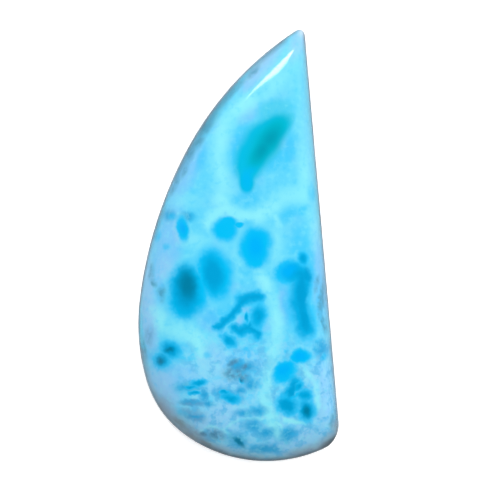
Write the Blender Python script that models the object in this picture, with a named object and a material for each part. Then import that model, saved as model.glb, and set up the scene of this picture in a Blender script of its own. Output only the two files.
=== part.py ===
"""A free-form larimar cabochon: a fin-shaped stone with a low polished dome and a flat back.

Metres, +Z up. The stone lies on its flat back with its dome up and its tip towards +Y. The
origin is on the back, at the middle of the outline's box.
"""

import math

import bmesh
import bpy
import numpy as np

MM = 0.001

# Driving heights, in millimetres
THICKNESS = 6.5
GIRDLE_TOP = 1.6  # the upright edge ends here and the dome starts
GIRDLE_LEAN = 0.12  # how far the edge leans in by its top
BACK_CHAMFER = 0.4  # the ground bevel round the back

# The outline, walked with the stone on the left: tangent arcs as (radius in mm, turn in
# degrees), from the top of the straight side, over the tip, down the long bowed side and
# along the base. The straight side closes it, so the turns add up to 360.
STRAIGHT_TOP = (6.59, 21.18)
STRAIGHT_HEADING = 95.0
TIP = (0.6, 118.2)
BEAK = (32.5, 28.6)
LONG_SIDE = (42.84, 21.3)
LOWER_SIDE = (20.03, 23.6)
HEEL = (10.26, 36.4)
BASE = (13.83, 61.1)
CORNER = (2.71, 70.8)
ARCS = (TIP, BEAK, LONG_SIDE, LOWER_SIDE, HEEL, BASE, CORNER)

# The dome slopes down to the rim over these many millimetres: a long slope to the bowed side
# and the base, a short one to the straight side, and a narrow roll right round the rim, which
# rounds the slopes off at the tip and the corner. A higher fullness keeps a slope flatter on
# top and rolls it over nearer its foot.
BOWED_SLOPE = 14.0
BOWED_FULLNESS = 2.6
STRAIGHT_SLOPE = 3.4
STRAIGHT_FULLNESS = 2.4
RIM_SLOPE = 1.4
RIM_FULLNESS = 2.2
RIDGE_SHARPNESS = 5.0  # how closely the dome follows the lowest of its three slopes

# The faces: how long they may be round the rim, how far an arc may turn in one of them,
# and how far in from the rim each ring of the dome lies, as a share of the way to the crest
FACE_LENGTH = 0.95
FACE_TURN = 15.0
RINGS = (0.0015, 0.005, 0.012, 0.024, 0.042, 0.07, 0.105)
RINGS += (0.15, 0.21, 0.29, 0.39, 0.51, 0.65, 0.81)
CREST = (2.2, -6.0)  # the point that the rings close in on

LARIMAR_BLUE = (0.17, 0.60, 0.87, 1.0)
POLISH = 0.12


def lay_out_rim():
    """Each arc's centre and first heading, and the foot of the straight side."""
    x, y = STRAIGHT_TOP
    heading = STRAIGHT_HEADING
    placed = {}
    for arc in ARCS:
        radius, turn = arc
        first = math.radians(heading)
        centre_x = x - radius * math.sin(first)
        centre_y = y + radius * math.cos(first)
        placed[arc] = (centre_x, centre_y, heading)
        heading += turn
        last = math.radians(heading)
        x = centre_x + radius * math.sin(last)
        y = centre_y - radius * math.cos(last)
    return placed, (x, y)


PLACED, STRAIGHT_FOOT = lay_out_rim()


def rim_points(inset):
    """The outline moved inwards by inset, as an array of points round the stone, in mm."""
    points = []
    for arc in ARCS:
        radius, turn = arc
        centre_x, centre_y, heading = PLACED[arc]
        length = radius * math.radians(turn)
        steps = max(math.ceil(length / FACE_LENGTH), math.ceil(turn / FACE_TURN))
        for step in range(steps):
            angle = math.radians(heading + turn * step / steps)
            x = centre_x + (radius - inset) * math.sin(angle)
            y = centre_y - (radius - inset) * math.cos(angle)
            points.append((x, y))
    straight = math.radians(STRAIGHT_HEADING)
    foot_x, foot_y = STRAIGHT_FOOT
    top_x, top_y = STRAIGHT_TOP
    steps = math.ceil(math.dist(STRAIGHT_FOOT, STRAIGHT_TOP) / FACE_LENGTH)
    for step in range(steps):
        share = step / steps
        x = foot_x + (top_x - foot_x) * share - math.sin(straight) * inset
        y = foot_y + (top_y - foot_y) * share + math.cos(straight) * inset
        points.append((x, y))
    return np.array(points)


def distance_to_arc(arc, x, y, before=0.0, after=0.0):
    """How far inside an arc points are, in mm, and infinity where they don't face it.

    The rim is taken to run straight on for some degrees before the arc's start or after its end.
    """
    radius, turn = arc
    centre_x, centre_y, heading = PLACED[arc]
    away_x = x - centre_x
    away_y = y - centre_y
    along = (np.degrees(np.arctan2(away_x, -away_y)) - heading + 90.0) % 360.0 - 90.0
    past_the_end = np.maximum(np.maximum(-along, along - turn), 0.0)
    distance = radius - np.hypot(away_x, away_y) * np.cos(np.radians(past_the_end))
    return np.where((along >= -before) & (along <= turn + after), distance, np.inf)


def slope_profile(distance, slope, fullness):
    """A rounded slope's height as a share of the dome, from 0 at its foot to 1."""
    short_of_top = np.clip(1.0 - distance / slope, 0.0, 1.0)
    return (1.0 - short_of_top**fullness) ** (1.0 / fullness)


def dome_height(x, y):
    """The height of the polished dome over points inside the girdle, in mm."""
    straight = math.radians(STRAIGHT_HEADING)
    top_x, top_y = STRAIGHT_TOP
    to_straight = (top_x - x) * math.sin(straight) - (top_y - y) * math.cos(straight)
    to_bowed = distance_to_arc(BEAK, x, y, before=90.0)
    to_bowed = np.minimum(to_bowed, distance_to_arc(BASE, x, y, after=90.0))
    for arc in (LONG_SIDE, LOWER_SIDE, HEEL):
        to_bowed = np.minimum(to_bowed, distance_to_arc(arc, x, y))
    to_rim = np.minimum(to_bowed, to_straight)
    for arc in (TIP, CORNER):
        to_rim = np.minimum(to_rim, distance_to_arc(arc, x, y))
    slopes = (
        slope_profile(to_bowed - GIRDLE_LEAN, BOWED_SLOPE, BOWED_FULLNESS),
        slope_profile(to_straight - GIRDLE_LEAN, STRAIGHT_SLOPE, STRAIGHT_FULLNESS),
        slope_profile(to_rim - GIRDLE_LEAN, RIM_SLOPE, RIM_FULLNESS),
    )
    steepness = sum(np.maximum(slope, 0.0001) ** -RIDGE_SHARPNESS for slope in slopes)
    share = (len(slopes) / steepness) ** (1.0 / RIDGE_SHARPNESS)
    return GIRDLE_TOP + (THICKNESS - GIRDLE_TOP) * share


def add_ring(mesh, loop, ring):
    """Extrudes a loop of edges to the points of a ring, and returns the new loop."""
    place = mesh.verts.layers.int["place in ring"]
    old_vertices = {vertex for edge in loop for vertex in edge.verts}
    made = bmesh.ops.extrude_edge_only(mesh, edges=loop)["geom"]
    for vertex in made:
        if isinstance(vertex, bmesh.types.BMVert):
            vertex.co = ring[vertex[place]] * MM
    edges = [edge for edge in made if isinstance(edge, bmesh.types.BMEdge)]
    return [edge for edge in edges if not old_vertices.intersection(edge.verts)]


def larimar():
    """Polished pectolite: a sky-blue stone with a glassy skin."""
    material = bpy.data.materials.new("polished larimar")
    material.use_nodes = True
    surface = material.node_tree.nodes["Principled BSDF"]
    surface.inputs["Base Color"].default_value = LARIMAR_BLUE
    surface.inputs["Metallic"].default_value = 0.0
    surface.inputs["Roughness"].default_value = POLISH
    return material


def stone_rings():
    """The stone's rings of points from the back to just short of the crest, and the crest."""
    outline = rim_points(0.0)
    middle = (outline.min(axis=0) + outline.max(axis=0)) / 2.0
    girdle = rim_points(GIRDLE_LEAN)
    flat_rings = [
        (rim_points(BACK_CHAMFER), 0.0),
        (outline, BACK_CHAMFER),
        (girdle, GIRDLE_TOP),
    ]
    for share in RINGS:
        ring = girdle + (np.array(CREST) - girdle) * share
        flat_rings.append((ring, dome_height(ring[:, 0], ring[:, 1])))
    rings = [np.column_stack((ring - middle, np.full(len(ring), z))) for ring, z in flat_rings]
    crest = np.append(np.array(CREST) - middle, dome_height(*np.array(CREST)))
    return rings, crest


def make_cabochon():
    """The stone as one closed solid: back, chamfer, leaning girdle and dome."""
    rings, crest = stone_rings()
    mesh = bmesh.new()
    place = mesh.verts.layers.int.new("place in ring")
    for number, point in enumerate(rings[0]):
        vertex = mesh.verts.new(point * MM)
        vertex[place] = number
    vertices = list(mesh.verts)
    back = [mesh.edges.new(pair) for pair in zip(vertices, vertices[1:] + vertices[:1])]
    loop = back
    for ring in rings[1:]:
        loop = add_ring(mesh, loop, ring)
    bmesh.ops.contextual_create(mesh, geom=back)
    crest_face = bmesh.ops.contextual_create(mesh, geom=loop)["faces"]
    crest_fan = bmesh.ops.poke(mesh, faces=crest_face)
    crest_fan["verts"][0].co = crest * MM
    bmesh.ops.recalc_face_normals(mesh, faces=mesh.faces)

    data = bpy.data.meshes.new("cabochon")
    mesh.to_mesh(data)
    mesh.free()
    data.shade_smooth()
    data.set_sharp_from_angle(angle=math.radians(35.0))
    data.materials.append(larimar())
    stone = bpy.data.objects.new("cabochon", data)
    bpy.context.scene.collection.objects.link(stone)


for old in list(bpy.data.objects):
    bpy.data.objects.remove(old)
make_cabochon()
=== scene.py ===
"""A fin-shaped larimar cabochon on a pale table, seen from straight above.

The stone is one polished piece of pectolite. Its mesh is drawn again here from the same outline
and the same dome as the solid, with finer faces, and its markings are made in the material,
along with painted shade round the rim.
"""

import math

import bmesh
import bpy
import numpy as np
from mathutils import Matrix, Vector


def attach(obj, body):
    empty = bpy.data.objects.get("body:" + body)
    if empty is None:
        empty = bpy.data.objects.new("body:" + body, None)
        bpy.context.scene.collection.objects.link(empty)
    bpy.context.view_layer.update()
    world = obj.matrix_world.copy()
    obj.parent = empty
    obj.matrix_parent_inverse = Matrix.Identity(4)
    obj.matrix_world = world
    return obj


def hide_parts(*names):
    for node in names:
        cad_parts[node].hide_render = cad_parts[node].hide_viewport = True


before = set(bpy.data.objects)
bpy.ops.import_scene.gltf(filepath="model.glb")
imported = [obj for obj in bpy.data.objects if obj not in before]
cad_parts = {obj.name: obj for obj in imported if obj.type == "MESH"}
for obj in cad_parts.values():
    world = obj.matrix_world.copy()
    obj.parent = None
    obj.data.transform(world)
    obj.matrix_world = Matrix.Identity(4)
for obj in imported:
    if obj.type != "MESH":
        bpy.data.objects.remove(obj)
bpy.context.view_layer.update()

MM = 0.001

# The stone's heights, in millimetres
THICKNESS = 6.5
GIRDLE_TOP = 1.6
GIRDLE_LEAN = 0.12
BACK_CHAMFER = 0.4

# The outline: tangent arcs as (radius in mm, turn in degrees) from the top of the straight
# side, over the tip, down the long bowed side and along the base to the straight side's foot
STRAIGHT_TOP = (6.59, 21.18)
STRAIGHT_HEADING = 95.0
TIP = (0.6, 118.2)
BEAK = (32.5, 28.6)
LONG_SIDE = (42.84, 21.3)
LOWER_SIDE = (20.03, 23.6)
HEEL = (10.26, 36.4)
BASE = (13.83, 61.1)
CORNER = (2.71, 70.8)
ARCS = (TIP, BEAK, LONG_SIDE, LOWER_SIDE, HEEL, BASE, CORNER)

# The dome's slopes to the bowed side, to the straight side and right round the rim
BOWED_SLOPE = 14.0
BOWED_FULLNESS = 2.6
STRAIGHT_SLOPE = 3.4
STRAIGHT_FULLNESS = 2.4
RIM_SLOPE = 1.4
RIM_FULLNESS = 2.2
RIDGE_SHARPNESS = 5.0

# The faces
FACE_LENGTH = 0.25
FACE_TURN = 7.0
RING_COUNT = 56
RING_CROWDING = 2.2  # how much closer the rings lie near the rim than near the crest
CREST = (2.2, -6.0)
ARRIS_ROUNDING = 0.06  # the rounding of the bevel's two edges


def lay_out_rim():
    """Each arc's centre and first heading, and the foot of the straight side."""
    x, y = STRAIGHT_TOP
    heading = STRAIGHT_HEADING
    placed = {}
    for arc in ARCS:
        radius, turn = arc
        first = math.radians(heading)
        centre_x = x - radius * math.sin(first)
        centre_y = y + radius * math.cos(first)
        placed[arc] = (centre_x, centre_y, heading)
        heading += turn
        last = math.radians(heading)
        x = centre_x + radius * math.sin(last)
        y = centre_y - radius * math.cos(last)
    return placed, (x, y)


PLACED, STRAIGHT_FOOT = lay_out_rim()


def rim_points(inset):
    """The outline moved inwards by inset, as an array of points round the stone, in mm."""
    points = []
    for arc in ARCS:
        radius, turn = arc
        centre_x, centre_y, heading = PLACED[arc]
        length = radius * math.radians(turn)
        steps = max(math.ceil(length / FACE_LENGTH), math.ceil(turn / FACE_TURN))
        for step in range(steps):
            angle = math.radians(heading + turn * step / steps)
            x = centre_x + (radius - inset) * math.sin(angle)
            y = centre_y - (radius - inset) * math.cos(angle)
            points.append((x, y))
    straight = math.radians(STRAIGHT_HEADING)
    foot_x, foot_y = STRAIGHT_FOOT
    top_x, top_y = STRAIGHT_TOP
    steps = math.ceil(math.dist(STRAIGHT_FOOT, STRAIGHT_TOP) / FACE_LENGTH)
    for step in range(steps):
        share = step / steps
        x = foot_x + (top_x - foot_x) * share - math.sin(straight) * inset
        y = foot_y + (top_y - foot_y) * share + math.cos(straight) * inset
        points.append((x, y))
    return np.array(points)


def distance_to_arc(arc, x, y, before=0.0, after=0.0):
    """How far inside an arc points are, in mm, and infinity where they don't face it.

    The rim is taken to run straight on for some degrees before the arc's start or after its end.
    """
    radius, turn = arc
    centre_x, centre_y, heading = PLACED[arc]
    away_x = x - centre_x
    away_y = y - centre_y
    along = (np.degrees(np.arctan2(away_x, -away_y)) - heading + 90.0) % 360.0 - 90.0
    past_the_end = np.maximum(np.maximum(-along, along - turn), 0.0)
    distance = radius - np.hypot(away_x, away_y) * np.cos(np.radians(past_the_end))
    return np.where((along >= -before) & (along <= turn + after), distance, np.inf)


def slope_profile(distance, slope, fullness):
    """A rounded slope's height as a share of the dome, from 0 at its foot to 1."""
    short_of_top = np.clip(1.0 - distance / slope, 0.0, 1.0)
    return (1.0 - short_of_top**fullness) ** (1.0 / fullness)


def dome_height(x, y):
    """The height of the polished dome over points inside the girdle, in mm."""
    straight = math.radians(STRAIGHT_HEADING)
    top_x, top_y = STRAIGHT_TOP
    to_straight = (top_x - x) * math.sin(straight) - (top_y - y) * math.cos(straight)
    to_bowed = distance_to_arc(BEAK, x, y, before=90.0)
    to_bowed = np.minimum(to_bowed, distance_to_arc(BASE, x, y, after=90.0))
    for arc in (LONG_SIDE, LOWER_SIDE, HEEL):
        to_bowed = np.minimum(to_bowed, distance_to_arc(arc, x, y))
    to_rim = np.minimum(to_bowed, to_straight)
    for arc in (TIP, CORNER):
        to_rim = np.minimum(to_rim, distance_to_arc(arc, x, y))
    slopes = (
        slope_profile(to_bowed - GIRDLE_LEAN, BOWED_SLOPE, BOWED_FULLNESS),
        slope_profile(to_straight - GIRDLE_LEAN, STRAIGHT_SLOPE, STRAIGHT_FULLNESS),
        slope_profile(to_rim - GIRDLE_LEAN, RIM_SLOPE, RIM_FULLNESS),
    )
    steepness = sum(np.maximum(slope, 0.0001) ** -RIDGE_SHARPNESS for slope in slopes)
    share = (len(slopes) / steepness) ** (1.0 / RIDGE_SHARPNESS)
    return GIRDLE_TOP + (THICKNESS - GIRDLE_TOP) * share


OUTLINE = rim_points(0.0)
MIDDLE = (OUTLINE.min(axis=0) + OUTLINE.max(axis=0)) / 2.0  # the object's origin


def add_ring(mesh, loop, ring):
    """Extrudes a loop of edges to the points of a ring, and returns the new loop."""
    place = mesh.verts.layers.int["place in ring"]
    old_vertices = {vertex for edge in loop for vertex in edge.verts}
    made = bmesh.ops.extrude_edge_only(mesh, edges=loop)["geom"]
    for vertex in made:
        if isinstance(vertex, bmesh.types.BMVert):
            vertex.co = ring[vertex[place]] * MM
    edges = [edge for edge in made if isinstance(edge, bmesh.types.BMEdge)]
    return [edge for edge in edges if not old_vertices.intersection(edge.verts)]


def stone_rings():
    """The stone's rings of points from the back to just short of the crest, and the crest."""
    girdle = rim_points(GIRDLE_LEAN)
    flat_rings = [
        (rim_points(BACK_CHAMFER), 0.0),
        (OUTLINE, BACK_CHAMFER),
        (girdle, GIRDLE_TOP),
    ]
    for number in range(1, RING_COUNT):
        share = (number / RING_COUNT) ** RING_CROWDING
        ring = girdle + (np.array(CREST) - girdle) * share
        flat_rings.append((ring, dome_height(ring[:, 0], ring[:, 1])))
    rings = [np.column_stack((ring - MIDDLE, np.full(len(ring), z))) for ring, z in flat_rings]
    crest = np.append(np.array(CREST) - MIDDLE, dome_height(*np.array(CREST)))
    return rings, crest


def make_stone():
    """The polished stone, as fine faces over the solid's own shape."""
    rings, crest = stone_rings()
    mesh = bmesh.new()
    place = mesh.verts.layers.int.new("place in ring")
    for number, point in enumerate(rings[0]):
        vertex = mesh.verts.new(point * MM)
        vertex[place] = number
    vertices = list(mesh.verts)
    back = [mesh.edges.new(pair) for pair in zip(vertices, vertices[1:] + vertices[:1])]
    widest = add_ring(mesh, back, rings[1])
    loop = widest
    for ring in rings[2:]:
        loop = add_ring(mesh, loop, ring)
    bmesh.ops.contextual_create(mesh, geom=back)
    crest_face = bmesh.ops.contextual_create(mesh, geom=loop)["faces"]
    crest_fan = bmesh.ops.poke(mesh, faces=crest_face)
    crest_fan["verts"][0].co = crest * MM
    bmesh.ops.recalc_face_normals(mesh, faces=mesh.faces)
    bmesh.ops.bevel(
        mesh,
        geom=back + widest,
        offset=ARRIS_ROUNDING * MM,
        segments=3,
        profile=0.5,
        affect="EDGES",
        material=-1,
    )
    data = bpy.data.meshes.new("polished_stone")
    mesh.to_mesh(data)
    mesh.free()
    data.shade_smooth()
    data.set_sharp_from_angle(angle=math.radians(40.0))
    stone = bpy.data.objects.new("polished_stone", data)
    bpy.context.scene.collection.objects.link(stone)
    return stone


def linear(colour):
    """An sRGB colour written as six hex digits, as linear red, green, blue and alpha."""
    parts = [int(colour[place : place + 2], 16) / 255.0 for place in (0, 2, 4)]
    straight = [c / 12.92 if c <= 0.04045 else ((c + 0.055) / 1.055) ** 2.4 for c in parts]
    return (*straight, 1.0)


def add(tree, kind, settings, links):
    """Adds a node to a material, with its settings and what is linked to its inputs."""
    node = tree.nodes.new(kind)
    for name, value in settings.items():
        if isinstance(name, str) and hasattr(node, name):
            setattr(node, name, value)
        else:
            node.inputs[name].default_value = value
    for name, source in links.items():
        tree.links.new(source, node.inputs[name])
    return node


# The stone's colours
SKY = "59c2e2"
TOP_SKY = "69c6e2"
PERIWINKLE = "6fb6e2"
MILK_BLUE = "79b6df"
# grey-lilac of the stone, and painted shade near the rim
DOVE_AND_PAINTED_SHADE = "7b94ab"
HALO = "22b1e1"
TEAL_HAZE = "48bad6"
AZURE = "00addf"
CORE_BLUE = "00a1e2"
BAND_BLUE = "009bcd"
DEEP_BLUE = "008fc0"
DEEP_TEAL = "007091"
EYE_BLUE = "00aacd"
EYE_MID = "00a4b8"
EYE_TEAL = "008da3"
TAIL_BLUE = "00a6e2"
MILK = "86dbe2"
LILAC = "84badf"
PALE_BLUE = "84c4df"
MID_BLUE = "4aa3d2"
BLUE_MIST = "2394c6"
FROST = "b5c8d4"
# grey-teal flecks of the stone, and painted shade along the upper-left rim
GREY_TEAL_AND_PAINTED_SHADE = "3b85a3"
SMOKE = "437d9e"
HAZE = "5690b9"
OLIVE = "5f8289"
# painted shade along the upper-left and left rim
PAINTED_SHADE = "267793"
# painted shade along the lower left side, the bottom and the lower right
BOTTOM_PAINTED_SHADE = "7d868e"
# the dull grey of the ground girdle, and painted shade for the dark outline of the rim
RIND_AND_PAINTED_SHADE = "688191"
PALE_RIND = "84a4b6"
DARK_RIND = "506876"
# painted shade: the dark outline just inside the rim
RIM_PAINTED_SHADE = "49565b"

# The markings and the painted shade, in mm on the outline's own axes. A spot is an ellipse:
# (x, y, half length, half width, turn in degrees). A stroke is (half width, its points).
TOP_SKY_SPOTS = (
    (4.6, 17.4, 5.0, 2.6, 62),
    (6.5, 9.5, 7.0, 1.2, 94),
    (-0.6, 5.2, 3.4, 1.6, 20),
    (6.2, 1.6, 2.2, 1.6, 0),
)
PERIWINKLE_SPOTS = (
    (-5.3, 7.6, 3.6, 1.3, 62),
    (0.9, 13.0, 1.4, 0.7, 40),
    (1.2, 16.3, 1.6, 0.5, 50),
    (-7.2, -0.6, 5.6, 1.5, 80),
    (8.0, -3.0, 5.0, 0.9, 94),
    (8.3, -14.5, 4.5, 1.6, 92),
    (4.5, -5.2, 2.2, 0.7, 92),
    (-3.0, -7.0, 2.0, 1.0, 130),
    (-5.6, -12.6, 2.4, 1.2, 0),
    (0.4, -11.2, 2.4, 1.1, 0),
)
MILK_BLUE_SPOTS = (
    (-7.2, -13.6, 2.8, 1.2, 115),
    (-1.8, -17.4, 3.4, 1.8, 0),
    (5.0, -19.6, 4.0, 1.2, 8),
    (-1.6, -13.6, 2.4, 0.8, 0),
    (-8.7, -8.0, 4.0, 0.8, 94),
    (-2.6, -11.2, 1.8, 1.4, 100),
)
# Grey-lilac patches near the rim: partly the stone's own grey, partly painted shade along the bottom and
# upper-left rim.
DOVE_AND_PAINTED_SHADE_SPOTS = (
    (-7.5, -15.6, 2.4, 1.0, 122),
    (-5.0, -18.0, 2.8, 1.0, 145),
    (8.6, -19.2, 1.4, 0.8, 50),
    (6.6, -20.2, 1.8, 0.6, 15),
    (2.4, 18.4, 3.0, 0.5, 50),
)
FROST_SPOTS = (
    (6.3, 21.5, 0.9, 0.45, 80),
)
LILAC_SPOTS = (
    (5.9, 20.3, 2.0, 0.8, 72),
    (2.4, 17.9, 3.0, 0.8, 50),
    (-9.1, -4.5, 5.0, 0.7, 93),
    (1.0, -6.1, 0.9, 0.3, 0),
    (0.1, -7.4, 0.8, 0.5, 60),
    (-7.3, -2.6, 1.6, 0.8, 85),
    (-2.6, -17.2, 1.8, 0.8, 10),
    (4.1, -19.9, 0.5, 0.8, 0),
    (-1.4, -16.2, 1.6, 1.0, 0),
    (-7.0, -16.0, 1.6, 0.6, 125),
    (-1.4, -20.0, 2.4, 0.5, 168),
    (-3.4, -17.6, 1.4, 0.6, 160),
    (-6.0, 1.6, 0.5, 1.2, 0),
    (-7.4, -13.6, 1.8, 1.1, 115),
    (-8.4, -13.4, 1.8, 0.6, 115),
    (7.9, -13.0, 0.8, 1.0, 0),
    (6.0, -18.9, 2.6, 0.9, 5),
    (8.4, -15.5, 2.4, 0.6, 92),
)
PALE_SPOTS = (
    (5.2, 4.9, 2.0, 1.2, 15),
    (1.2, 3.0, 1.8, 0.7, 5),
    (-5.2, 4.5, 1.5, 0.8, 0),
    (3.8, 0.4, 0.7, 2.2, 0),
    (0.1, -1.6, 0.7, 1.4, 20),
    (-4.4, -8.7, 2.6, 0.9, 165),
    (-3.2, -11.6, 1.0, 1.4, 20),
    (6.9, -12.6, 0.9, 0.7, 0),
    (3.6, 16.2, 2.4, 0.9, 52),
    (-4.4, 0.6, 1.4, 0.8, 0),
    (6.4, 6.4, 3.0, 0.7, 92),
    (7.4, 1.8, 2.6, 0.7, 94),
    (2.8, -3.4, 0.5, 0.7, 20),
)
HALO_SPOTS = (
    (-0.1, 9.6, 2.6, 0.9, 78),
    (5.0, 9.6, 1.9, 0.6, 78),
    (3.6, 8.4, 1.3, 0.6, 45),
    (0.95, 5.2, 1.8, 1.1, 90),
    (-0.6, 4.7, 1.0, 0.4, 160),
    (-3.7, 8.6, 1.2, 0.45, 72),
    (-4.9, 2.9, 0.8, 0.6, 20),
    (6.1, 0.5, 2.1, 1.1, 88),
    (7.0, -1.0, 1.2, 0.5, 92),
    (3.2, -4.2, 0.6, 0.6, 0),
    (0.95, 2.2, 0.6, 0.5, 0),
    (0.7, -2.3, 0.8, 0.6, 0),
    (-0.9, -1.9, 0.8, 0.7, 90),
    (-4.7, -1.8, 1.0, 0.7, 30),
    (7.0, -10.1, 1.3, 0.9, 0),
    (4.9, -10.0, 1.3, 0.8, 20),
    (0.9, -12.2, 1.0, 0.8, 0),
    (-7.3, -4.2, 1.2, 0.8, 90),
    (3.0, -18.0, 1.0, 0.6, 0),
    (-1.0, -1.6, 0.9, 0.8, 0),
    (-5.0, -10.2, 1.2, 0.8, 0),
    (-8.3, -10.7, 0.8, 0.7, 0),
    (7.0, -13.8, 0.8, 0.7, 0),
    (7.4, -6.4, 1.2, 0.5, 94),
    (-3.4, -6.4, 2.0, 1.0, 150),
    (-7.0, -4.6, 2.0, 0.6, 90),
    (4.9, -5.4, 2.7, 0.6, 92),
    (4.4, -3.4, 1.2, 0.8, 0),
    (-1.2, -5.9, 2.2, 0.8, 45),
    (1.4, -7.0, 1.7, 1.0, 70),
    (0.8, -8.7, 1.6, 0.8, 165),
    (-2.6, -7.0, 1.0, 0.7, 50),
    (-7.1, -10.8, 1.7, 1.2, 50),
    (0.2, -11.0, 1.6, 1.0, 0),
    (1.0, -10.2, 0.8, 0.3, 0),
    (-4.8, -13.9, 1.5, 0.7, 0),
    (-0.7, -14.6, 1.6, 0.8, 165),
    (1.5, -14.0, 1.1, 1.0, 0),
    (5.7, -10.6, 1.6, 1.0, 0),
    (8.1, -10.3, 1.0, 0.9, 90),
    (4.5, -12.4, 1.6, 1.1, 42),
    (5.6, -14.8, 2.0, 1.3, 110),
    (6.7, -15.4, 1.6, 0.7, 90),
    (4.8, -18.6, 1.0, 0.8, 0),
    (4.8, 3.3, 1.1, 0.8, 50),
    (6.2, 3.6, 0.7, 0.4, 60),
    (7.2, 5.3, 0.8, 0.45, 100),
    (8.1, -6.0, 2.4, 0.4, 94),
)
TEAL_HAZE_SPOTS = (
    (3.6, 13.5, 1.9, 1.1, 12),
    (5.0, 12.6, 0.9, 0.5, 80),
)
AZURE_SPOTS = (
    (1.7, 0.5, 1.3, 1.2, 0),
    (1.5, -0.35, 1.4, 1.3, 90),
    (1.6, -1.35, 0.7, 0.7, 90),
    (-1.4, 1.65, 1.05, 1.0, 0),
    (-1.05, 2.35, 0.75, 0.5, 0),
    (0.0, 2.15, 0.4, 0.26, 0),
    (-2.4, -2.75, 2.15, 1.48, 99),
    (-5.15, -4.0, 1.95, 1.5, 95),
    (-5.35, -5.25, 1.65, 1.35, 90),
    (-4.4, -4.2, 1.9, 1.1, 100),
    (6.0, -10.8, 0.82, 0.74, 0),
    (4.55, -12.25, 1.2, 0.84, 42),
    (-5.6, 1.75, 1.05, 0.52, 98),
    (4.9, -2.4, 1.2, 1.0, 10),
)
SMALL_CELLS = (
    (4.75, -15.6, 0.85, 0.68, 165),
    (6.65, -16.15, 0.85, 0.68, 95),
    (6.3, -1.15, 0.5, 0.36, 90),
    (1.95, -6.75, 0.9, 0.5, 92),
    (0.85, -6.9, 0.42, 0.16, 90),
    (-1.1, -9.2, 0.66, 0.42, 145),
    (-6.7, -10.15, 0.78, 0.62, 150),
    (-7.55, -11.3, 0.66, 0.6, 0),
    (-3.95, -13.35, 0.6, 0.26, 10),
    (-4.8, -13.8, 0.4, 0.16, 0),
    (-4.4, -14.45, 0.4, 0.16, 0),
    (-0.8, -14.9, 0.62, 0.38, 155),
    (-1.4, -14.3, 0.3, 0.15, 0),
    (6.55, -14.65, 0.62, 0.45, 15),
    (5.9, -13.75, 0.4, 0.3, 30),
    (0.35, -13.05, 0.26, 0.2, 90),
)
AZURE_STROKES = (
    (0.8, ((5.3, -2.5), (6.2, -2.7), (6.4, -2.9))),
    (0.78, ((6.3, -2.9), (6.1, -4.2), (5.95, -5.5), (6.25, -7.0), (6.6, -8.1))),
    (0.46, ((0.3, -5.3), (1.0, -4.95), (1.95, -4.8))),
    (0.34, ((0.1, -5.5), (-0.1, -5.95), (-0.65, -6.65), (-1.35, -7.3), (-2.1, -8.0))),
    (0.42, ((-0.4, -8.0), (0.1, -8.35), (0.8, -8.0), (1.4, -8.1), (1.9, -8.5))),
    (0.3, ((1.1, -7.9), (1.5, -7.6), (1.8, -7.4))),
    (0.52, ((5.4, -13.5), (5.1, -14.2), (4.9, -14.7))),
)
PALE_AZURE_SPOTS = (
    (-6.6, 3.0, 0.5, 0.4, 0),
    (-7.1, 0.0, 0.4, 0.3, 0),
    (-8.0, 1.0, 0.6, 0.3, 75),
    (0.6, -10.1, 0.5, 0.3, 0),
    (8.4, -10.9, 0.45, 0.36, 0),
    (-3.0, -10.6, 0.5, 0.35, 60),
)
CORE_SPOTS = (
    (1.6, 0.0, 1.5, 1.0, 90),
    (4.5, -12.2, 1.0, 0.7, 42),
    (6.0, -10.8, 0.7, 0.6, 0),
    (-5.6, 1.8, 0.8, 0.4, 98),
    (4.9, -2.3, 1.0, 0.8, 20),
)
DEEP_BLUE_SPOTS = (
    (-2.5, -2.75, 1.75, 0.95, 98),
    (-5.25, -4.4, 2.3, 1.4, 95),
    (6.75, -2.8, 0.6, 0.36, 110),
    (6.25, -4.6, 1.9, 0.45, 92),
    (6.45, -7.2, 1.0, 0.36, 105),
    (-6.8, -10.15, 0.6, 0.42, 150),
    (-7.6, -11.3, 0.5, 0.45, 0),
    (6.65, -16.1, 0.8, 0.5, 95),
    (4.7, -15.55, 0.65, 0.45, 165),
    (5.2, -14.2, 0.7, 0.3, 75),
)
DEEP_TEAL_SPOTS = (
    (-5.15, -3.75, 1.6, 0.95, 95),
    (-6.85, -10.15, 0.4, 0.28, 0),
    (-7.6, -11.3, 0.4, 0.34, 0),
    (6.65, -16.2, 0.6, 0.4, 95),
    (0.35, -13.05, 0.25, 0.16, 90),
    (-0.1, -19.35, 0.85, 0.22, -42),
)
EYE_SPOTS = (
    (3.4, 11.55, 1.75, 1.15, 35),
    (2.35, 10.5, 1.85, 1.65, 50),
    (1.4, 9.0, 1.85, 1.5, 65),
    (0.95, 7.9, 1.5, 1.15, 72),
    (0.75, 6.7, 1.1, 0.68, 90),
    (0.78, 6.1, 0.75, 0.66, 90),
)
EYE_TEAL_SPOTS = (
    (3.5, 11.5, 1.7, 0.95, 40),
    (2.7, 10.2, 1.9, 1.3, 55),
    (1.8, 8.9, 1.4, 0.85, 60),
)
EYE_CORE_SPOTS = (
    (3.1, 10.6, 1.2, 0.7, 50),
    (2.3, 9.5, 1.2, 0.6, 58),
)
TAIL_SPOTS = (
    (0.75, 6.5, 1.3, 0.6, 90),
    (1.3, 7.7, 0.8, 0.45, 50),
)
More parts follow.
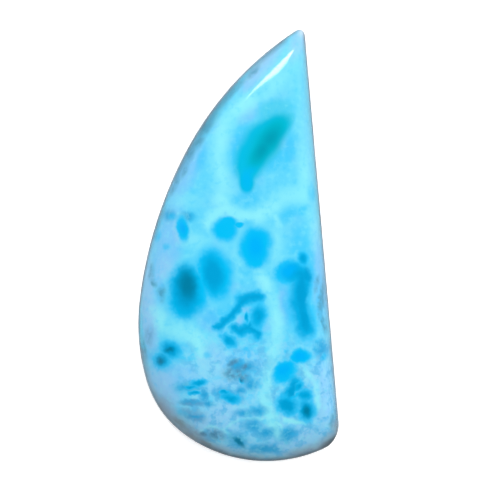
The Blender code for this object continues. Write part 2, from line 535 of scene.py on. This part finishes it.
MILK_STROKES = (
    (0.7, ((-3.0, 2.2), (-2.6, 3.1), (-1.3, 3.8), (0.0, 3.2), (1.9, 3.1))),
    (1.0, ((1.9, 3.1), (3.3, 3.7), (4.6, 4.9), (6.0, 5.1))),
    (0.4, ((3.4, 3.2), (3.9, 2.1))),
    (0.8, ((-8.2, -6.3), (-7.6, -7.9), (-6.0, -8.3), (-4.4, -9.0), (-3.6, -10.2))),
    (0.75, ((2.2, -3.0), (3.0, -4.2), (3.5, -6.0), (3.8, -8.2), (3.4, -10.6), (2.9, -12.5))),
    (0.65, ((2.9, -12.5), (2.5, -15.0), (3.3, -17.2), (3.8, -18.4))),
    (1.05, ((1.0, 14.3), (-0.7, 12.9), (-1.7, 11.0), (-2.0, 9.0), (-1.7, 7.0), (-1.6, 4.6))),
    (0.35, ((4.6, -17.0), (6.4, -17.4), (7.7, -15.8), (7.6, -13.2), (6.6, -12.4))),
    (0.2, ((-4.3, -18.4), (-3.0, -17.7), (-1.4, -17.9), (-0.4, -17.2), (0.9, -16.9), (2.4, -16.9))),
    (0.2, ((-1.4, -17.9), (-0.6, -18.9))),
    (0.2, ((2.6, -16.6), (4.2, -17.6), (4.6, -19.2))),
)
PALE_LINES = (
    (0.16, ((-3.85, -2.2), (-3.6, -3.6), (-3.2, -4.9))),
    (0.13, ((-5.5, -16.9), (-4.5, -17.9), (-3.0, -18.1))),
    (0.13, ((-4.0, -18.9), (-3.0, -18.9), (-2.1, -19.4))),
    (0.13, ((5.3, -14.8), (5.9, -14.5))),
)
# Grey-teal flecks in the stone; along the upper-left rim they run together as painted shade.
GREY_TEAL_AND_PAINTED_SHADE_SPOTS = (
    (-3.4, 11.3, 0.9, 0.26, 50),
    (-4.0, 10.3, 0.9, 0.34, 55),
    (-4.8, 9.0, 0.9, 0.28, 62),
    (-5.3, 7.6, 0.8, 0.2, 68),
    (-6.3, 6.0, 0.8, 0.2, 65),
    (-8.7, -2.6, 0.7, 0.26, 80),
    (-8.5, -3.6, 0.5, 0.22, 120),
    (-7.65, -4.6, 0.6, 0.3, 92),
    (8.2, -5.2, 1.6, 0.24, 84),
    (8.4, -7.6, 0.9, 0.24, 98),
    (7.7, -3.6, 0.7, 0.2, 80),
    (9.4, -17.0, 0.9, 0.4, 86),
    (-9.4, -10.2, 0.9, 0.26, 95),
    (-0.6, 15.3, 1.4, 0.26, 48),
    (1.4, 17.2, 0.7, 0.26, 44),
)
SMOKE_SPOTS = (
    (-0.5, -12.5, 1.0, 0.65, 0),
    (0.5, -12.9, 0.5, 0.4, 0),
    (0.6, -11.8, 0.5, 0.3, 0),
    (-0.6, -11.4, 0.6, 0.26, 30),
    (-2.3, -18.5, 0.85, 0.5, 160),
    (-3.5, -18.5, 0.5, 0.24, 0),
)
MIST_SPOTS = (
    (-5.0, -13.8, 1.0, 0.4, 0),
    (-3.5, -14.6, 0.6, 0.4, 80),
    (-0.1, -11.7, 0.7, 0.4, 0),
    (1.0, -11.8, 0.6, 0.5, 0),
    (1.2, -13.6, 0.7, 0.6, 0),
    (-1.0, -14.6, 1.2, 0.6, 160),
    (0.0, -14.1, 0.6, 0.4, 0),
    (0.6, -16.3, 0.85, 0.4, 5),
    (1.8, -16.1, 0.8, 0.45, 0),
    (1.3, -17.6, 0.9, 0.65, 0),
    (2.7, -18.3, 0.95, 0.5, 0),
    (4.8, -18.5, 0.7, 0.65, 0),
    (-0.1, -19.2, 1.05, 0.6, -40),
    (2.6, -20.0, 1.3, 0.5, 0),
    (8.1, -10.2, 0.7, 0.85, 0),
    (-3.0, -15.5, 0.6, 0.3, 0),
    (-6.9, 3.1, 0.6, 0.45, 0),
    (-5.1, 3.0, 0.6, 0.4, 0),
    (-4.7, -15.4, 0.9, 0.26, 172),
    (-4.5, -16.6, 1.0, 0.26, 168),
)
HAZE_SPOTS = (
    (-4.6, -15.5, 1.1, 0.26, 172),
    (-4.7, -16.2, 1.1, 0.26, 170),
    (-4.3, -16.9, 1.0, 0.26, 165),
    (-8.8, -8.8, 0.8, 0.4, 90),
)
OLIVE_SPOTS = (
    (-5.9, -17.4, 0.7, 0.3, -42),
    (-4.6, -18.8, 0.8, 0.25, -30),
    (-3.2, -19.4, 0.7, 0.2, -25),
)
# Painted shade: a dark teal band along the upper-left and left rim.
PAINTED_SHADE_STROKES = (
    (0.56, ((4.2, 20.6), (1.9, 18.8), (-0.2, 16.7))),
    (0.66, ((-0.2, 16.7), (-2.2, 14.4))),
    (0.86, ((-2.2, 14.4), (-3.9, 11.9))),
    (0.76, ((-3.9, 11.9), (-5.4, 9.4))),
    (0.58, ((-5.4, 9.4), (-6.7, 6.7))),
    (0.46, ((-6.7, 6.7), (-7.8, 3.9), (-8.7, 1.0))),
    (0.35, ((-8.7, 1.0), (-9.4, -1.9))),
)
# Painted shade: a grey band along the lower left side, the bottom and the lower right of the rim.
BOTTOM_PAINTED_SHADE_STROKES = (
    (0.3, ((-9.9, -4.8), (-10.1, -7.7), (-9.9, -10.6))),
    (0.6, ((-9.9, -10.6), (-9.3, -13.5), (-8.0, -16.1))),
    (1.1, ((-8.0, -16.1), (-6.2, -18.3), (-3.7, -19.9))),
    (0.9, ((-3.7, -19.9), (-0.9, -21.0), (2.1, -21.5))),
    (0.7, ((2.1, -21.5), (5.0, -21.3))),
    (1.0, ((5.0, -21.3), (7.9, -20.5), (9.7, -19.2))),
    (0.8, ((9.7, -19.2), (9.9, -17.8))),
)
# Painted shade: a narrow dark line just inside the rim, widest along the bottom and upper left.
RIM_PAINTED_SHADE_STROKES = (
    (0.35, ((5.4, 21.4), (4.2, 20.6), (1.9, 18.8), (-0.2, 16.7), (-2.2, 14.4))),
    (0.34, ((-2.2, 14.4), (-3.9, 11.9), (-5.4, 9.4))),
    (0.2, ((-5.4, 9.4), (-6.7, 6.7), (-8.7, 1.0), (-9.9, -4.8), (-10.1, -7.7))),
    (0.1, ((-10.1, -7.7), (-9.3, -13.5), (-8.0, -16.1), (-6.2, -18.3), (-3.7, -19.9))),
    (0.46, ((-3.7, -19.9), (-0.9, -21.0), (2.1, -21.5), (5.0, -21.3), (7.9, -20.5), (9.7, -19.0))),
    (0.3, ((9.7, -19.0), (10.0, -17.5), (9.8, -15.6), (9.3, -9.6))),
)

MARKING_DEPTH = 9.0  # mm: how far down a marking reaches from the top of the dome
REACH = 2.0  # how far out a spot's field goes, as a share of the spot's own size
JOINING = 0.08  # how readily two near spots run into one


def group_of(name, inputs):
    """A node group with a Field output, its inputs given as names and kinds, and its two ends."""
    group = bpy.data.node_groups.new(name, "ShaderNodeTree")
    for socket, kind in inputs.items():
        group.interface.new_socket(socket, in_out="INPUT", socket_type=kind)
    group.interface.new_socket("Field", in_out="OUTPUT", socket_type="NodeSocketFloat")
    given = add(group, "NodeGroupInput", {}, {}).outputs
    return group, given


def spot_group():
    """One elliptical marking: its field, joined softly to the field of the spots before it."""
    inputs = dict.fromkeys(("Place", "Centre", "Turn", "Size"), "NodeSocketVector")
    inputs.update(dict.fromkeys(("Before", "Joining"), "NodeSocketFloat"))
    group, given = group_of("spot", inputs)
    links = {"Vector": given["Place"], "Location": given["Centre"]}
    links.update({"Rotation": given["Turn"], "Scale": given["Size"]})
    local = add(group, "ShaderNodeMapping", {"vector_type": "TEXTURE"}, links).outputs[0]
    settings = {"gradient_type": "SPHERICAL"}
    field = add(group, "ShaderNodeTexGradient", settings, {"Vector": local}).outputs[1]
    links = {0: given["Before"], 1: field, 2: given["Joining"]}
    field = add(group, "ShaderNodeMath", {"operation": "SMOOTH_MAX"}, links).outputs[0]
    add(group, "NodeGroupOutput", {}, {"Field": field})
    return group


def stroke_group():
    """One straight run of a vein, with round ends: the higher of its field and the one before."""
    inputs = dict.fromkeys(("Place", "Start", "Along"), "NodeSocketVector")
    inputs.update(dict.fromkeys(("Length", "Width", "Before"), "NodeSocketFloat"))
    group, given = group_of("stroke", inputs)
    settings = {"operation": "SUBTRACT"}
    links = {0: given["Place"], 1: given["Start"]}
    away = add(group, "ShaderNodeVectorMath", settings, links).outputs[0]
    settings = {"operation": "DOT_PRODUCT"}
    along = add(group, "ShaderNodeVectorMath", settings, {0: away, 1: given["Along"]}).outputs[1]
    links = {"Value": along, "Max": given["Length"]}
    along = add(group, "ShaderNodeClamp", {}, links).outputs[0]
    settings = {"operation": "SCALE"}
    links = {0: given["Along"], "Scale": along}
    foot = add(group, "ShaderNodeVectorMath", settings, links).outputs[0]
    settings = {"operation": "DISTANCE"}
    aside = add(group, "ShaderNodeVectorMath", settings, {0: away, 1: foot}).outputs[1]
    links = {0: aside, 2: given["Width"]}
    field = add(group, "ShaderNodeMapRange", {3: 1.0, 4: 0.0}, links).outputs[0]
    settings = {"operation": "MAXIMUM"}
    field = add(group, "ShaderNodeMath", settings, {0: given["Before"], 1: field}).outputs[0]
    add(group, "NodeGroupOutput", {}, {"Field": field})
    return group


def spread_spots(tree, group, place, spots, joining=JOINING):
    """A field that is 1 in the middle of each spot and falls to 0 at REACH times its size."""
    links = {"Place": place}
    for x, y, half_length, half_width, turn in spots:
        settings = {
            "node_tree": group,
            "Centre": (x, y, THICKNESS),
            "Turn": (0.0, 0.0, math.radians(turn)),
            "Size": (half_length * REACH, half_width * REACH, MARKING_DEPTH * REACH),
            "Joining": joining,
        }
        links["Before"] = add(tree, "ShaderNodeGroup", settings, links).outputs[0]
    return links["Before"]


def draw_strokes(tree, group, place, strokes):
    """A field that is 1 on each stroke's middle line and 0 at REACH times its half width."""
    flatten = {"operation": "MULTIPLY", 1: (1.0, 1.0, 1.0 / MARKING_DEPTH)}
    links = {"Place": add(tree, "ShaderNodeVectorMath", flatten, {0: place}).outputs[0]}
    for half_width, points in strokes:
        for start, end in zip(points, points[1:]):
            length = math.dist(start, end)
            settings = {
                "node_tree": group,
                "Start": (*start, THICKNESS / MARKING_DEPTH),
                "Along": ((end[0] - start[0]) / length, (end[1] - start[1]) / length, 0.0),
                "Length": length,
                "Width": half_width * REACH,
            }
            links["Before"] = add(tree, "ShaderNodeGroup", settings, links).outputs[0]
    return links["Before"]


def lay(tree, under, field, outer, inner, colour, strength=1.0, mask=None):
    """Lays a colour over another where a field says: its cover grows from the outer edge of a
    spot to the inner one, both as shares of the spot's size, and ends at a strength."""
    settings = {"interpolation_type": "SMOOTHSTEP", 1: 1.0 - outer / REACH, 2: 1.0 - inner / REACH}
    settings[4] = strength
    cover = add(tree, "ShaderNodeMapRange", settings, {0: field}).outputs[0]
    if mask:
        cover = add(tree, "ShaderNodeMath", {"operation": "MULTIPLY"}, {0: cover, 1: mask}).outputs[0]
    settings = {"data_type": "RGBA", 7: linear(colour)}
    return add(tree, "ShaderNodeMix", settings, {0: cover, 6: under}).outputs[2]


def ramp(tree, value, first, last, low=0.0, high=1.0):
    """A smooth step of a value, from low at first to high at last."""
    settings = {"interpolation_type": "SMOOTHSTEP", 1: first, 2: last, 3: low, 4: high}
    return add(tree, "ShaderNodeMapRange", settings, {0: value}).outputs[0]


def noise(tree, place, size, detail=2.0):
    """Soft noise whose largest lumps are about a size in mm."""
    settings = {"Scale": 1.0 / size, "Detail": detail, "Roughness": 0.55}
    return add(tree, "ShaderNodeTexNoise", settings, {"Vector": place})


def tint(tree, under, cover, colour, mask=None):
    """Mixes a colour over another by a cover from 0 to 1, which a mask may lower."""
    if mask:
        cover = add(tree, "ShaderNodeMath", {"operation": "MULTIPLY"}, {0: cover, 1: mask}).outputs[0]
    settings = {"data_type": "RGBA", 7: linear(colour)}
    return add(tree, "ShaderNodeMix", settings, {0: cover, 6: under}).outputs[2]


def polished_larimar():
    """Pectolite, blue with copper, cut and polished: milky cells, clear blue ones and veins."""
    material = bpy.data.materials.new("polished larimar")
    material.use_nodes = True
    tree = material.node_tree
    surface = tree.nodes["Principled BSDF"]
    surface.inputs["IOR"].default_value = 1.6

    spot = spot_group()
    stroke = stroke_group()
    here = add(tree, "ShaderNodeTexCoord", {}, {}).outputs["Object"]
    settings = {"operation": "MULTIPLY_ADD", 1: (1.0 / MM,) * 3, 2: (MIDDLE[0], MIDDLE[1], 0.0)}
    place = add(tree, "ShaderNodeVectorMath", settings, {0: here}).outputs[0]
    parts = add(tree, "ShaderNodeSeparateXYZ", {}, {0: place})
    calm = ramp(tree, parts.outputs[1], -9.0, 8.0, 1.0, 0.35)

    bent = place
    for size, reach in ((2.2, 0.5), (0.7, 0.35), (0.3, 0.2)):
        lumps = noise(tree, place, size, detail=0.0).outputs["Color"]
        settings = {"operation": "SUBTRACT", 1: (0.5, 0.5, 0.5)}
        push = add(tree, "ShaderNodeVectorMath", settings, {0: lumps}).outputs[0]
        settings = {"operation": "SCALE"}
        push = add(tree, "ShaderNodeVectorMath", settings, {0: push, "Scale": calm}).outputs[0]
        settings = {"operation": "MULTIPLY_ADD", 1: (reach,) * 3}
        bent = add(tree, "ShaderNodeVectorMath", settings, {0: push, 2: bent}).outputs[0]

    clouds = noise(tree, bent, 3.2, detail=2.0).outputs["Fac"]
    grain = noise(tree, place, 0.6, detail=2.0).outputs["Fac"]
    lower = ramp(tree, parts.outputs[1], -7.0, -11.5)
    lower_left = ramp(tree, parts.outputs[0], -7.5, -3.0, 0.1, 1.0)
    settings = {"operation": "MULTIPLY"}
    lower = add(tree, "ShaderNodeMath", settings, {0: lower, 1: lower_left}).outputs[0]
    patchy = ramp(tree, clouds, 0.35, 0.6, 0.6, 1.0)
    streaky = ramp(tree, grain, 0.35, 0.6, 0.45, 1.0)
    settings = {"operation": "MULTIPLY_ADD", 1: 0.16, 2: -0.08}
    ragged = add(tree, "ShaderNodeMath", settings, {0: grain}).outputs[0]

    settings = {"data_type": "RGBA", 6: linear(SKY), 7: linear(PERIWINKLE)}
    factor = ramp(tree, clouds, 0.5, 0.8, 0.0, 0.8)
    colour = add(tree, "ShaderNodeMix", settings, {0: factor}).outputs[2]
    colour = lay(tree, colour, spread_spots(tree, spot, place, TOP_SKY_SPOTS), 1.5, 0.2, TOP_SKY, 0.9)
    colour = lay(tree, colour, spread_spots(tree, spot, bent, PERIWINKLE_SPOTS), 1.4, 0.4, PERIWINKLE, 0.9)
    colour = lay(tree, colour, spread_spots(tree, spot, bent, MILK_BLUE_SPOTS), 1.4, 0.4, MILK_BLUE, 0.8)
    # grey-lilac patches, partly painted shade along the bottom and upper-left rim
    colour = lay(tree, colour, spread_spots(tree, spot, bent, DOVE_AND_PAINTED_SHADE_SPOTS), 1.4, 0.2, DOVE_AND_PAINTED_SHADE, 0.8)
    colour = lay(tree, colour, spread_spots(tree, spot, bent, PALE_SPOTS), 1.5, 0.1, MILK, 0.5, patchy)
    colour = lay(tree, colour, spread_spots(tree, spot, bent, LILAC_SPOTS), 1.5, 0.4, LILAC, 0.8)
    colour = lay(tree, colour, spread_spots(tree, spot, bent, FROST_SPOTS), 1.4, 0.2, FROST, 0.9)
    colour = lay(tree, colour, spread_spots(tree, spot, bent, HALO_SPOTS), 1.5, 0.4, HALO, 0.55)
    colour = lay(tree, colour, spread_spots(tree, spot, bent, TEAL_HAZE_SPOTS), 1.4, 0.5, TEAL_HAZE, 0.9)

    settings = {"feature": "DISTANCE_TO_EDGE", "Scale": 1.0 / 0.8}
    net = add(tree, "ShaderNodeTexVoronoi", settings, {"Vector": bent}).outputs["Distance"]
    colour = tint(tree, colour, ramp(tree, net, 0.35, 0.0, 0.0, 0.5), PALE_BLUE, lower)
    patches = noise(tree, bent, 1.0, detail=3.0).outputs["Fac"]
    colour = tint(tree, colour, ramp(tree, patches, 0.5, 0.68, 0.0, 0.6), PALE_BLUE, lower)
    colour = tint(tree, colour, ramp(tree, patches, 0.52, 0.36, 0.0, 0.7), MID_BLUE, lower)
    veins = draw_strokes(tree, stroke, bent, MILK_STROKES)
    colour = lay(tree, colour, veins, 1.5, 0.0, MILK, 0.8, patchy)
    colour = lay(tree, colour, spread_spots(tree, spot, bent, MIST_SPOTS), 1.95, 0.1, BLUE_MIST, 0.95)
    colour = tint(tree, colour, ramp(tree, grain, 0.5, 0.75, 0.0, 0.25), MILK)
    colour = tint(tree, colour, ramp(tree, grain, 0.5, 0.25, 0.0, 0.25), HALO)

    settings = {"operation": "ADD"}
    cells = spread_spots(tree, spot, bent, AZURE_SPOTS)
    cells = add(tree, "ShaderNodeMath", settings, {0: cells, 1: ragged}).outputs[0]
    colour = lay(tree, colour, cells, 1.9, 1.3, MILK, 0.2)
    colour = lay(tree, colour, cells, 1.6, 0.95, HALO, 0.85)
    colour = lay(tree, colour, cells, 1.26, 0.76, AZURE, 0.97)
    bands = draw_strokes(tree, stroke, bent, AZURE_STROKES)
    bands = add(tree, "ShaderNodeMath", settings, {0: bands, 1: ragged}).outputs[0]
    colour = lay(tree, colour, bands, 1.98, 1.2, HALO, 0.6)
    colour = lay(tree, colour, bands, 1.6, 0.55, BAND_BLUE, 0.97)
    colour = lay(tree, colour, bands, 0.7, 0.0, DEEP_BLUE, 0.7)
    small_cells = spread_spots(tree, spot, bent, SMALL_CELLS)
    small_cells = add(tree, "ShaderNodeMath", settings, {0: small_cells, 1: ragged}).outputs[0]
    colour = lay(tree, colour, small_cells, 1.98, 1.2, HALO, 0.8)
    colour = lay(tree, colour, small_cells, 1.6, 0.55, BAND_BLUE, 0.97)
    colour = lay(tree, colour, small_cells, 0.8, 0.0, DEEP_BLUE, 0.8)
    colour = lay(tree, colour, spread_spots(tree, spot, bent, PALE_AZURE_SPOTS), 1.5, 0.3, AZURE, 0.6)
    colour = lay(tree, colour, spread_spots(tree, spot, bent, CORE_SPOTS), 1.3, 0.2, CORE_BLUE, 0.9)
    colour = lay(tree, colour, spread_spots(tree, spot, bent, DEEP_BLUE_SPOTS), 1.5, 0.4, DEEP_BLUE, 0.9)
    colour = lay(tree, colour, spread_spots(tree, spot, bent, DEEP_TEAL_SPOTS), 1.5, 0.2, DEEP_TEAL, 0.95)
    eye = spread_spots(tree, spot, place, EYE_SPOTS, joining=0.3)
    colour = lay(tree, colour, eye, 1.42, 0.7, EYE_BLUE, 0.98)
    colour = lay(tree, colour, spread_spots(tree, spot, place, TAIL_SPOTS), 1.4, 0.3, TAIL_BLUE, 0.6)
    teal = spread_spots(tree, spot, place, EYE_TEAL_SPOTS, joining=0.3)
    colour = lay(tree, colour, teal, 1.5, 0.3, EYE_MID, 0.95)
    colour = lay(tree, colour, spread_spots(tree, spot, place, EYE_CORE_SPOTS), 1.9, 0.0, EYE_TEAL, 0.95)
    colour = lay(tree, colour, draw_strokes(tree, stroke, bent, PALE_LINES), 1.4, 0.3, AZURE, 0.6)
    # grey-teal flecks, which along the upper-left rim are painted shade
    colour = lay(tree, colour, spread_spots(tree, spot, bent, GREY_TEAL_AND_PAINTED_SHADE_SPOTS), 1.9, 0.2, GREY_TEAL_AND_PAINTED_SHADE, 0.75, streaky)
    colour = lay(tree, colour, spread_spots(tree, spot, place, SMOKE_SPOTS), 1.7, 0.2, SMOKE, 0.95, streaky)
    colour = lay(tree, colour, spread_spots(tree, spot, bent, HAZE_SPOTS), 1.8, 0.3, HAZE, 0.7, streaky)
    colour = lay(tree, colour, spread_spots(tree, spot, bent, OLIVE_SPOTS), 1.5, 0.4, OLIVE, 0.7)
    # painted shade along the upper-left and left rim
    colour = lay(tree, colour, draw_strokes(tree, stroke, place, PAINTED_SHADE_STROKES), 1.7, 0.3, PAINTED_SHADE, 0.95, patchy)
    # painted shade along the lower left side, the bottom and the lower right
    colour = lay(tree, colour, draw_strokes(tree, stroke, place, BOTTOM_PAINTED_SHADE_STROKES), 1.6, 0.1, BOTTOM_PAINTED_SHADE, 0.8)
    # painted shade: the dark outline just inside the rim
    colour = lay(tree, colour, draw_strokes(tree, stroke, place, RIM_PAINTED_SHADE_STROKES), 1.6, 0.4, RIM_PAINTED_SHADE, 1.0)

    height = parts.outputs[2]
    ground = ramp(tree, height, 3.6, 1.6)
    # The girdle and the lowest slope turn grey: partly the ground stone's dull grey, partly painted shade for the
    # rim's dark outline.
    colour = tint(tree, colour, ramp(tree, height, 3.6, 1.6, 0.0, 0.9), RIND_AND_PAINTED_SHADE)
    bands = noise(tree, place, 1.8, detail=4.0).outputs["Fac"]
    colour = tint(tree, colour, ramp(tree, bands, 0.48, 0.66, 0.0, 0.7), PALE_RIND, ground)
    colour = tint(tree, colour, ramp(tree, bands, 0.48, 0.34, 0.0, 0.7), DARK_RIND, ground)
    tree.links.new(colour, surface.inputs["Base Color"])

    settings = {"operation": "MULTIPLY_ADD", 1: 0.06, 2: -0.03}
    uneven = add(tree, "ShaderNodeMath", settings, {0: grain}).outputs[0]
    gloss = ramp(tree, height, 3.6, 1.8, 0.12, 0.5)
    gloss = add(tree, "ShaderNodeMath", {"operation": "ADD"}, {0: gloss, 1: uneven}).outputs[0]
    tree.links.new(gloss, surface.inputs["Roughness"])
    scratches = noise(tree, place, 0.3, detail=2.0).outputs["Fac"]
    scratches = add(tree, "ShaderNodeMath", {"operation": "MULTIPLY"}, {0: scratches, 1: ground}).outputs[0]
    settings = {"Strength": 0.5, "Distance": 0.02 * MM}
    relief = add(tree, "ShaderNodeBump", settings, {"Height": scratches}).outputs[0]
    tree.links.new(relief, surface.inputs["Normal"])
    return material


def make_table():
    mesh = bmesh.new()
    bmesh.ops.create_grid(mesh, x_segments=1, y_segments=1, size=3.0)
    data = bpy.data.meshes.new("table")
    mesh.to_mesh(data)
    mesh.free()
    table = bpy.data.objects.new("table", data)
    bpy.context.scene.collection.objects.link(table)
    material = bpy.data.materials.new("white table")
    material.use_nodes = True
    surface = material.node_tree.nodes["Principled BSDF"]
    surface.inputs["Base Color"].default_value = (0.96, 0.96, 0.96, 1.0)
    surface.inputs["Roughness"].default_value = 0.8
    surface.inputs["Specular IOR Level"].default_value = 0.2
    surface.inputs["Emission Color"].default_value = (1.0, 1.0, 1.0, 1.0)
    surface.inputs["Emission Strength"].default_value = 0.35
    data.materials.append(material)
    table.visible_glossy = False


def add_light(name, azimuth, tilt, distance, size, strength, colour="ffffff", shape="SQUARE", size_y=None):
    """An area light aimed at the stone: azimuth from +X, tilt from straight up, in degrees."""
    data = bpy.data.lights.new(name, "AREA")
    data.shape = shape
    data.size = size
    if size_y:
        data.size_y = size_y
    data.energy = strength
    data.color = linear(colour)[:3]
    light = bpy.data.objects.new(name, data)
    bpy.context.scene.collection.objects.link(light)
    flat = math.sin(math.radians(tilt)) * distance
    light.location = (
        flat * math.cos(math.radians(azimuth)),
        flat * math.sin(math.radians(azimuth)),
        math.cos(math.radians(tilt)) * distance,
    )
    light.rotation_euler = Vector(light.location).to_track_quat("Z", "Y").to_euler()
    return light


VIEW_WIDTH = 50.0  # mm across the picture, at the stone's outline
CAMERA_HEIGHT = 300.0
STONE_IN_VIEW = (-1.15, 0.45)  # mm from the picture's middle to the stone's
SENSOR = 36.0


def make_camera():
    data = bpy.data.cameras.new("camera")
    data.sensor_width = SENSOR
    data.lens = SENSOR * CAMERA_HEIGHT / VIEW_WIDTH
    data.clip_start = 0.01
    camera = bpy.data.objects.new("camera", data)
    bpy.context.scene.collection.objects.link(camera)
    camera.location = (
        -STONE_IN_VIEW[0] * MM,
        -STONE_IN_VIEW[1] * MM,
        (CAMERA_HEIGHT + 1.0) * MM,
    )
    bpy.context.scene.camera = camera


def make_world():
    world = bpy.data.worlds.new("studio")
    world.use_nodes = True
    tree = world.node_tree
    background = tree.nodes["Background"]
    place = add(tree, "ShaderNodeTexCoord", {}, {})
    split = add(tree, "ShaderNodeSeparateXYZ", {}, {"Vector": place.outputs["Generated"]})
    settings = {"interpolation_type": "SMOOTHSTEP", 1: 0.3, 2: 0.92, 3: 0.45, 4: 0.02}
    rise = add(tree, "ShaderNodeMapRange", settings, {0: split.outputs["Z"]}).outputs[0]
    settings = {"interpolation_type": "SMOOTHSTEP", 1: -1.0, 2: 0.6, 3: 0.2, 4: 1.0}
    far = add(tree, "ShaderNodeMapRange", settings, {0: split.outputs["Y"]}).outputs[0]
    strength = add(tree, "ShaderNodeMath", {"operation": "MULTIPLY"}, {0: rise, 1: far}).outputs[0]
    tree.links.new(strength, background.inputs["Strength"])
    background.inputs["Color"].default_value = (0.95, 0.97, 1.0, 1.0)
    bpy.context.scene.world = world


make_camera()
stone = make_stone()
stone.data.materials.append(polished_larimar())
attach(stone, "root")
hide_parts("cabochon")
make_table()
make_world()
window = add_light("window", 121.0, 58.0, 0.6, 0.19, 0.95, size_y=0.14, shape="RECTANGLE")
window.rotation_euler.rotate_axis("Z", math.radians(42.0))
overhead = add_light("overhead softbox", 70.0, 14.0, 0.7, 1.5, 12.0)
fill = add_light("right fill", -5.0, 60.0, 0.6, 0.5, 1.2)
for soft_light in (overhead, fill):
    soft_light.visible_glossy = False
    soft_light.data.cycles.use_multiple_importance_sampling = False
bpy.context.scene.view_settings.view_transform = "Standard"
